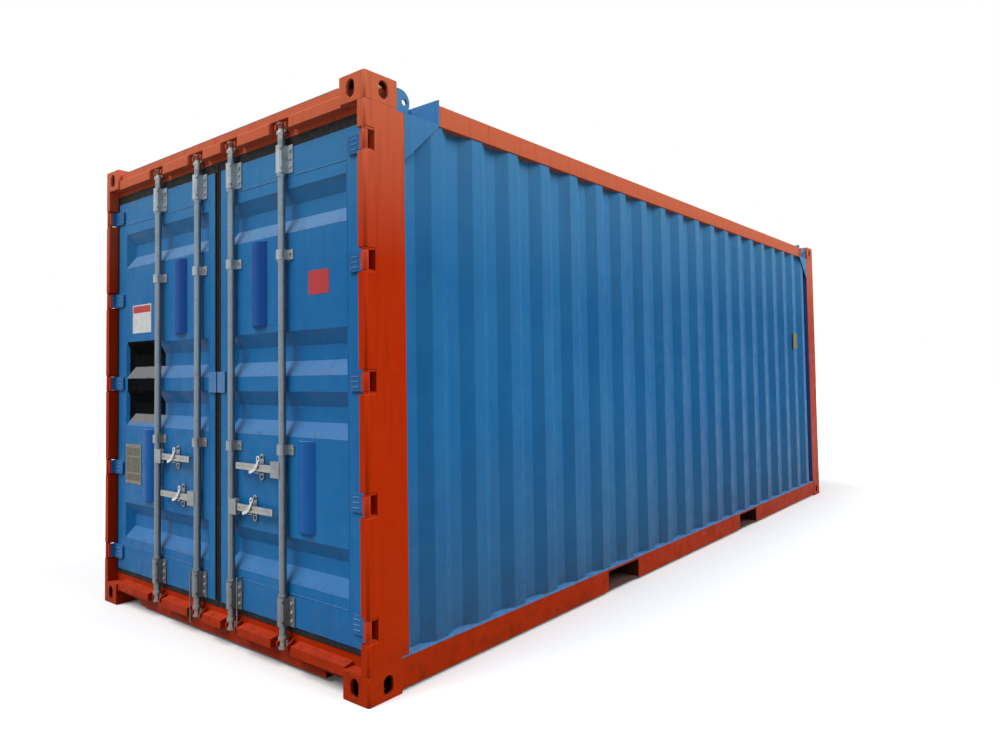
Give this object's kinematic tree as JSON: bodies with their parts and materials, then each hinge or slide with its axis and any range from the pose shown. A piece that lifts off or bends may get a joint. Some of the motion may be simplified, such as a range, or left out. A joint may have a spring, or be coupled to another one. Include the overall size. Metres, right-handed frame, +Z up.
{
  "type": "shipping container",
  "caption": "Steel freight container with corrugated blue walls, orange-red frame and double doors with lock rods, handles and forklift pockets",
  "frame": {"origin": "middle of the footprint, on the ground under the corner castings", "axes": "+X to the right seen from the door end, +Y from the door end to the closed end, +Z up"},
  "size_m": [2.438, 6.058, 2.591],
  "materials": {
    "door_blue": "satin",
    "side_blue": "satin",
    "roof_blue": "satin",
    "frame_red": "satin",
    "fitting_blue": "satin",
    "keeper_red": "satin",
    "galvanised": "dull",
    "bright_steel": "polished",
    "seal_black": "matt",
    "plywood": "varnished",
    "underframe": "matt"
  },
  "bodies": {
    "container": {"bottom_corner_castings": "frame_red", "top_corner_castings": "frame_red", "door_posts": "frame_red", "front_corner_posts": "frame_red", "hinge_lugs": "keeper_red", "door_header": "frame_red", "header_lintel": "frame_red", "door_sill": "frame_red", "guard_bars": "frame_red", "cam_keepers": "keeper_red", "front_rails": "frame_red", "top_side_rails": "frame_red", "bottom_side_rails": "frame_red", "side_walls": "side_blue", "front_wall": "side_blue", "roof": "roof_blue", "corner_plates": "fitting_blue", "floor": "plywood", "forklift_pockets": "underframe", "cross_members": "underframe"},
    "right_door": {"right_door_frame": "door_blue", "right_door_panel": "door_blue", "right_door_gasket": "seal_black", "right_hinge_blades": "fitting_blue", "right_lock_brackets": "galvanised", "right_handle_rests": "galvanised"},
    "right_outer_rod": {"right_outer_lock_rod": "galvanised", "right_outer_rod_hub": "galvanised"},
    "right_outer_handle_body": {"right_outer_handle": "galvanised"},
    "right_outer_catch_body": {"right_outer_catch": "bright_steel"},
    "right_inner_rod": {"right_inner_lock_rod": "galvanised", "right_inner_rod_hub": "galvanised"},
    "right_inner_handle_body": {"right_inner_handle": "galvanised"},
    "right_inner_catch_body": {"right_inner_catch": "bright_steel"},
    "left_door": {"left_door_frame": "door_blue", "left_door_panel": "door_blue", "left_door_gasket": "seal_black", "left_hinge_blades": "fitting_blue", "left_lock_brackets": "galvanised", "left_handle_rests": "galvanised"},
    "left_outer_rod": {"left_outer_lock_rod": "galvanised", "left_outer_rod_hub": "galvanised"},
    "left_outer_handle_body": {"left_outer_handle": "galvanised"},
    "left_outer_catch_body": {"left_outer_catch": "bright_steel"},
    "left_inner_rod": {"left_inner_lock_rod": "galvanised", "left_inner_rod_hub": "galvanised"},
    "left_inner_handle_body": {"left_inner_handle": "galvanised"},
    "left_inner_catch_body": {"left_inner_catch": "bright_steel"}
  },
  "joints": [
    {"name": "right_door_swing", "type": "hinge", "parent": "container", "child": "right_door", "pos_m": [1.203, -3.015, 1.3], "axis": [0, 0, 1], "range_deg": [0, 265]},
    {"name": "right_outer_rod_turn", "type": "hinge", "parent": "right_door", "child": "right_outer_rod", "pos_m": [0.598, -3.005, 0.9], "axis": [0, 0, -1], "range_deg": [-100, 0]},
    {"name": "right_outer_handle_lift", "type": "hinge", "parent": "right_outer_rod", "child": "right_outer_handle_body", "pos_m": [0.551, -3.014, 0.9], "axis": [0, -1, 0], "range_deg": [-30, 0]},
    {"name": "right_outer_catch_turn", "type": "hinge", "parent": "right_outer_handle_body", "child": "right_outer_catch_body", "pos_m": [0.402, -3.0225, 0.9], "axis": [0, 1, 0], "range_deg": [-60, 0]},
    {"name": "right_inner_rod_turn", "type": "hinge", "parent": "right_door", "child": "right_inner_rod", "pos_m": [0.165, -3.005, 0.7], "axis": [0, 0, 1], "range_deg": [-100, 0]},
    {"name": "right_inner_handle_lift", "type": "hinge", "parent": "right_inner_rod", "child": "right_inner_handle_body", "pos_m": [0.212, -3.014, 0.7], "axis": [0, 1, 0], "range_deg": [-30, 0]},
    {"name": "right_inner_catch_turn", "type": "hinge", "parent": "right_inner_handle_body", "child": "right_inner_catch_body", "pos_m": [0.344, -3.0225, 0.7], "axis": [0, 1, 0], "range_deg": [-60, 0]},
    {"name": "left_door_swing", "type": "hinge", "parent": "container", "child": "left_door", "pos_m": [-1.203, -3.015, 1.3], "axis": [0, 0, -1], "range_deg": [0, 265]},
    {"name": "left_outer_rod_turn", "type": "hinge", "parent": "left_door", "child": "left_outer_rod", "pos_m": [-0.598, -3.005, 0.9], "axis": [0, 0, 1], "range_deg": [-100, 0]},
    {"name": "left_outer_handle_lift", "type": "hinge", "parent": "left_outer_rod", "child": "left_outer_handle_body", "pos_m": [-0.551, -3.014, 0.9], "axis": [0, 1, 0], "range_deg": [-30, 0]},
    {"name": "left_outer_catch_turn", "type": "hinge", "parent": "left_outer_handle_body", "child": "left_outer_catch_body", "pos_m": [-0.402, -3.0225, 0.9], "axis": [0, 1, 0], "range_deg": [-60, 0]},
    {"name": "left_inner_rod_turn", "type": "hinge", "parent": "left_door", "child": "left_inner_rod", "pos_m": [-0.165, -3.005, 0.7], "axis": [0, 0, -1], "range_deg": [-100, 0]},
    {"name": "left_inner_handle_lift", "type": "hinge", "parent": "left_inner_rod", "child": "left_inner_handle_body", "pos_m": [-0.212, -3.014, 0.7], "axis": [0, -1, 0], "range_deg": [-30, 0]},
    {"name": "left_inner_catch_turn", "type": "hinge", "parent": "left_inner_handle_body", "child": "left_inner_catch_body", "pos_m": [-0.344, -3.0225, 0.7], "axis": [0, 1, 0], "range_deg": [-60, 0]}
  ]
}
